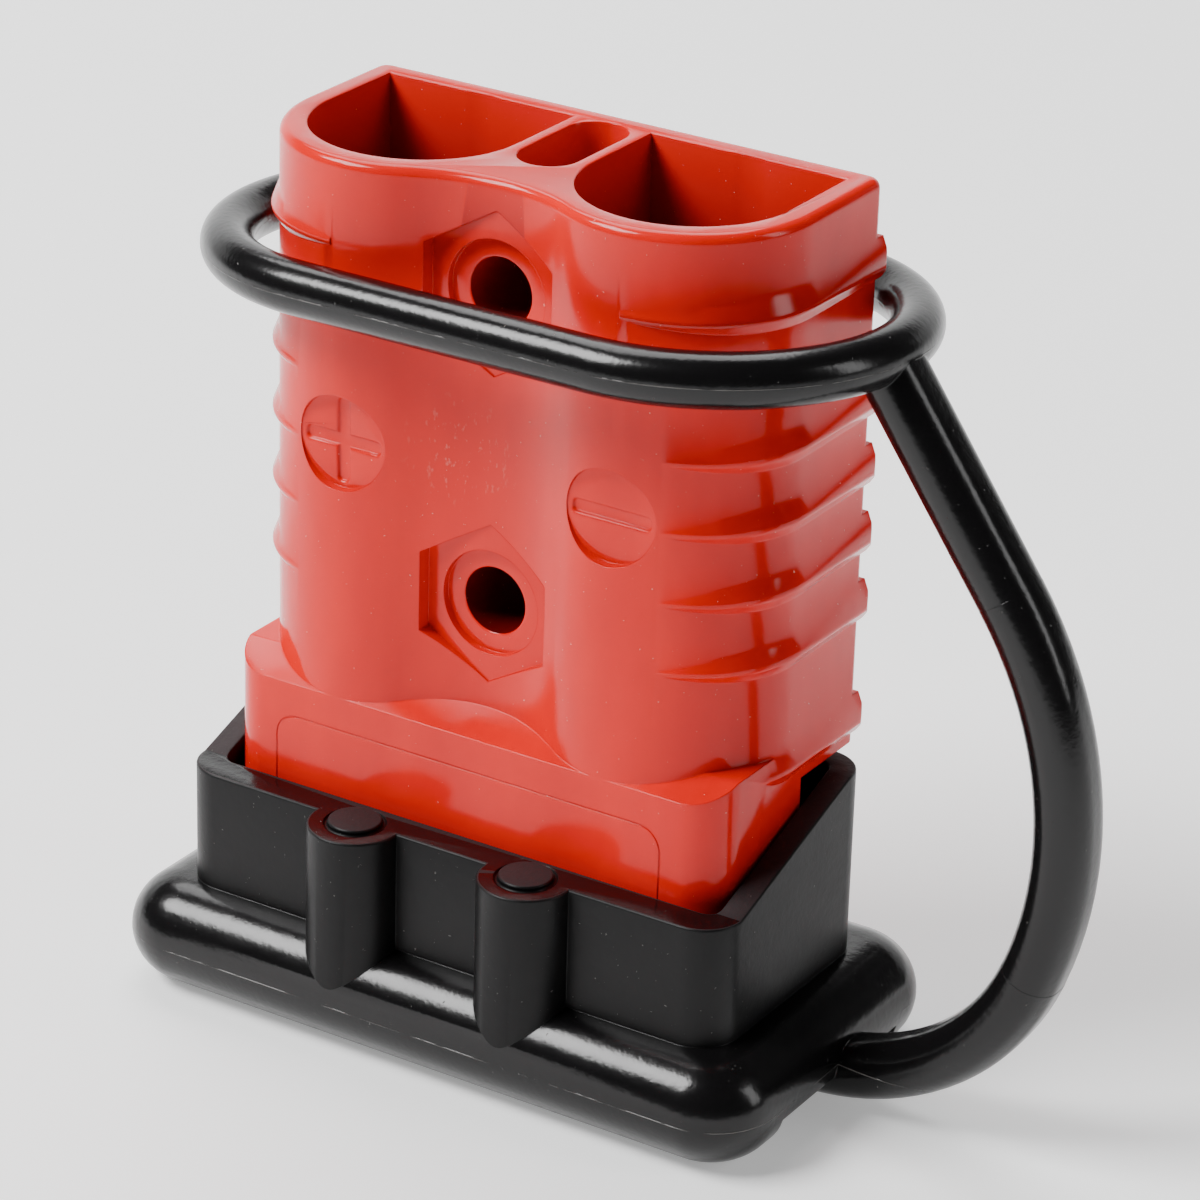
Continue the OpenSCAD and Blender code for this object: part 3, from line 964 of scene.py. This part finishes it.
@dataclass
class DustCap:
    """The black moulding: base, collar, strap and ring."""

    # Painted reflection: the rim's top is lighter and reddish, standing in for the red housing reflected
    # in it.
    rim_reflection_colour: tuple = (0.022, 0.016, 0.017)
    collar_half: float = 31 * MM
    collar_front: float = -16.95 * MM
    collar_back: float = 11.15 * MM
    base_top: float = 10.95 * MM
    rim_front: float = 23.4 * MM
    rim_back: float = 31 * MM
    rim_round: float = 0.22 * MM
    rim_slack: float = 0.05 * MM
    worn_slack: float = 0.2 * MM
    worn_rise: float = 0.8  # least upward part of a worn face's normal
    wall_tilt: float = 0.05  # most upward part of a wall's normal
    column_x: float = 9.8 * MM
    column_y: float = -17.1 * MM
    column_radius: float = 4.75 * MM
    stud_radius: float = 2.65 * MM
    groove_width: float = 0.4 * MM
    groove_bore: float = 0.6  # share of the groove width
    ring_centre: tuple = (1.1 * MM, 1.1 * MM, 76.3 * MM)
    ring_tilt: tuple = (-2.3, -1.7, -3.6)  # degrees

    def build(self) -> None:
        """Builds the cap with the grooves round its studs and its three finishes."""
        piece = Workshop.copy_of("dust_cap", "dust_cap_moulding")
        for side in (-1, 1):
            self.cut_groove(piece, side * self.column_x)
        Workshop.merge(piece, WELD_CUT, flatten=True)
        rim = Workshop.round_edges(piece, self.on_rim, self.rim_round, steps=3)
        log.info("edges rounded: collar rim %d", rim)
        self.dress(piece)
        Workshop.settle(piece)
        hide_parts("dust_cap")
        Workshop.mount(piece, "cap_rubber")

    def cut_groove(self, piece: bpy.types.Object, x: float) -> None:
        """Cuts the round groove at the foot of one stud.

        Args:
            piece: the cap.
            x: place of the stud across the cap.
        """
        bpy.ops.object.select_all(action="DESELECT")
        bpy.ops.mesh.primitive_torus_add(
            location=(x, self.column_y, self.rim_front),
            major_radius=self.stud_radius + self.groove_width / 2,
            minor_radius=self.groove_bore * self.groove_width,
            major_segments=64,
            minor_segments=12,
        )
        tool = bpy.context.active_object
        bpy.ops.object.transform_apply(location=True, rotation=True, scale=True)
        Workshop.combine(piece, tool, Cut.AWAY)

    def seams(self) -> tuple:
        """Finds the planes of the mould's parting lines.

        Returns:
            The seam round the base and the seam round the ring.
        """
        tilt = Euler([math.radians(a) for a in self.ring_tilt]).to_matrix()
        ring_up = tuple(tilt @ Vector((0, 0, 1)))
        return Seam((0, 0, self.base_top / 2), (0, 0, 1)), Seam(self.ring_centre, ring_up)

    def dress(self, piece: bpy.types.Object) -> None:
        """Gives the faces of the cap their three finishes.

        Args:
            piece: the cap.
        """
        finishes = {
            Gloss.POLISHED: BlackMoulding(Gloss.POLISHED, seams=self.seams()),
            Gloss.SATIN: BlackMoulding(Gloss.SATIN),
            # The worn finish is coloured with the painted reflection of the red housing.
            Gloss.WORN_WITH_REFLECTION: BlackMoulding(Gloss.WORN_WITH_REFLECTION, colour=self.rim_reflection_colour),
        }
        for gloss, finish in finishes.items():
            piece.data.materials.append(finish.make("black_moulding_" + gloss.name.lower()))
        order = list(finishes)
        for face in piece.data.polygons:
            face.material_index = order.index(self.gloss_of(face.center, face.normal))

    def gloss_of(self, point: Vector, normal: Vector) -> Gloss:
        """Names the gloss of a face.

        Args:
            point: middle of the face.
            normal: its direction.
        Returns:
            Worn, tinted with a painted reflection of the red housing, on the collar's rim and studs,
            satin on its walls and polished elsewhere.
        """
        if not self.in_collar(point):
            return Gloss.POLISHED
        on_top = point.z > self.rim_front - self.worn_slack and normal.z > self.worn_rise
        return Gloss.WORN_WITH_REFLECTION if on_top else Gloss.SATIN

    def on_rim(self, edge: Edge) -> bool:
        """Says if an edge is the outer or inner edge of the collar's rim.

        Args:
            edge: the edge that is looked at.
        Returns:
            Whether it lies between the rim's top and an upright wall.
        """
        if not self.in_collar(edge.middle) or edge.middle.z < self.rim_front - self.rim_slack:
            return False
        upper, wall = sorted(edge.sides, key=lambda normal: -normal.z)
        return upper.z > FACES_ALONG and abs(wall.z) < self.wall_tilt

    def in_collar(self, point: Vector) -> bool:
        """Says if a point lies on the collar or on one of its columns.

        Args:
            point: the point that is looked at.
        Returns:
            Whether it does.
        """
        if not self.base_top <= point.z <= self.rim_back:
            return False
        inside = abs(point.x) < self.collar_half and self.collar_front < point.y < self.collar_back
        from_column = math.hypot(abs(point.x) - self.column_x, point.y - self.column_y)
        return inside or from_column < self.column_radius


# ---------------------------------------------------------------- studio


@dataclass(frozen=True)
class Softbox:
    """A soft rectangular light: its place and size in metres, and its power in watts."""

    name: str
    place: tuple
    size: tuple
    power: float

    def hang(self, aim: Vector) -> None:
        """Hangs the light so that it faces a point.

        Args:
            aim: the point that it faces.
        """
        data = bpy.data.lights.new(self.name, "AREA")
        data.shape = "RECTANGLE"
        data.size, data.size_y = self.size
        data.energy = self.power
        light = bpy.data.objects.new(self.name, data)
        light.location = self.place
        light.rotation_mode = "QUATERNION"
        light.rotation_quaternion = (aim - Vector(self.place)).to_track_quat("-Z", "Y")
        bpy.context.scene.collection.objects.link(light)


@dataclass
class Studio:
    """The pale sweep, the soft lights and the camera."""

    aim: tuple = (6.57 * MM, 0.0, 44.93 * MM)
    azimuth: float = 31.67  # degrees, as are the next two
    elevation: float = 24.6
    roll: float = 1.694
    distance: float = 457.06 * MM
    lens: float = 143.76  # millimetres, as is the next
    sensor: float = 36
    sweep_half: float = 1.6
    sweep_back: float = 0.9
    sweep_height: float = 0.6
    sweep_bend: float = 0.35
    sweep_gap: float = 0.02 * MM
    ambient: float = 0.05
    nearest: float = 10 * MM
    softboxes: tuple = (
        Softbox("key", (-0.5, -0.45, 0.8), (0.55, 0.38), 19.0),
        Softbox("overhead", (-0.45, 0.5, 1.1), (0.8, 0.8), 13.0),
        Softbox("right", (0.9, 0.25, 0.45), (0.25, 0.6), 2.5),
    )

    def build(self) -> None:
        """Sets up everything round the object."""
        self.sweep()
        self.world()
        for softbox in self.softboxes:
            softbox.hang(Vector(self.aim))
        self.camera()

    def sweep(self) -> None:
        """Lays a floor that bends up into a wall behind the object, square to the camera."""
        bpy.ops.object.select_all(action="DESELECT")
        bpy.ops.mesh.primitive_plane_add(size=2 * self.sweep_half)
        sheet = bpy.context.active_object
        sheet.name = "sweep"
        Workshop.unmark(sheet.data)
        for vertex in sheet.data.vertices:
            if vertex.co.y > 0:
                vertex.co.y = self.sweep_back
                vertex.select = True
        Workshop.edit(points=True)
        bpy.ops.mesh.extrude_region_move(TRANSFORM_OT_translate={"value": (0, 0, self.sweep_height)})
        Workshop.leave()
        Workshop.round_edges(sheet, self.on_sweep_joint, self.sweep_bend, steps=12)
        sheet.rotation_euler = (0, 0, math.radians(self.azimuth))
        sheet.location = (0, 0, -self.sweep_gap)
        sheet.data.materials.append(PaleSweep().make("pale_sheet"))
        Workshop.settle(sheet)

    def on_sweep_joint(self, edge: Edge) -> bool:
        """Says if an edge is where the floor meets the wall."""
        return abs(edge.middle.y - self.sweep_back) < SAME_PLACE and abs(edge.middle.z) < SAME_PLACE

    def world(self) -> None:
        """Lights the room evenly."""
        world = bpy.data.worlds.new("studio")
        world.use_nodes = True
        background = world.node_tree.nodes["Background"]
        background.inputs["Color"].default_value = (1, 1, 1, 1)
        background.inputs["Strength"].default_value = self.ambient
        bpy.context.scene.world = world

    def camera(self) -> None:
        """Places the camera by its angles round the aim point."""
        data = bpy.data.cameras.new("camera")
        data.lens = self.lens
        data.sensor_width = self.sensor
        data.clip_start = self.nearest
        camera = bpy.data.objects.new("camera", data)
        turn = Matrix.Rotation(math.radians(self.azimuth), 4, "Z")
        tilt = Matrix.Rotation(math.radians(90 - self.elevation), 4, "X")
        roll = Matrix.Rotation(math.radians(self.roll), 4, "Z")
        pose = turn @ tilt @ roll
        back = pose.to_3x3() @ Vector((0, 0, 1))
        camera.matrix_world = Matrix.Translation(Vector(self.aim) + back * self.distance) @ pose
        bpy.context.scene.collection.objects.link(camera)
        bpy.context.scene.camera = camera


def main() -> None:
    """Builds the sub-assemblies in order."""
    logging.basicConfig(level=logging.INFO, format="%(message)s", force=True)
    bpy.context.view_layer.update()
    Studio().build()
    Housing().build()
    PoleMetal().build()
    DustCap().build()


if __name__ == "__main__":
    main()
